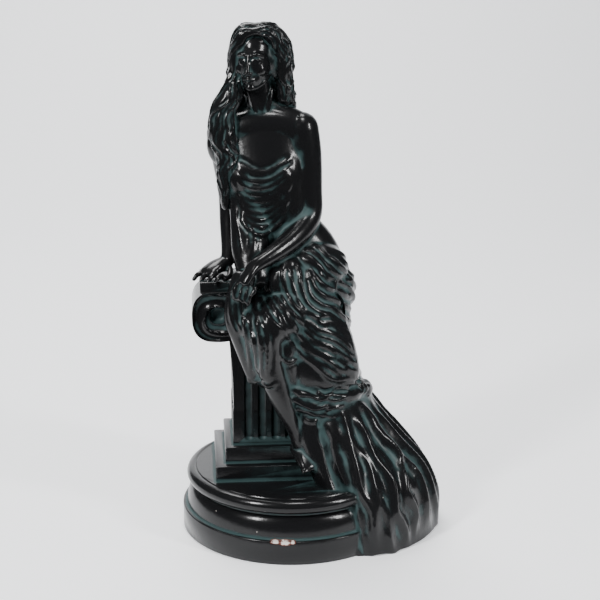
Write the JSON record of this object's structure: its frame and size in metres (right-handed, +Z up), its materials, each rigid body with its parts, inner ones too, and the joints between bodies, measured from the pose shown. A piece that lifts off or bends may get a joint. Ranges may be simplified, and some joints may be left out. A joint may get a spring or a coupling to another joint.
{
  "type": "female statue",
  "caption": "Cast statue of a draped woman leaning on a scroll-topped fluted pedestal, on a round moulded base.",
  "frame": {"origin": "middle of the round base's underside", "axes": "+Z up, +X to the side where the train falls, +Y to the back"},
  "size_m": [0.296, 0.249, 0.5689],
  "materials": {
    "lacquered_plaster": "black gloss lacquer over white plaster, blue-green patina in the hollows"
  },
  "bodies": {
    "root": {"statue": "lacquered_plaster"}
  },
  "joints": []
}
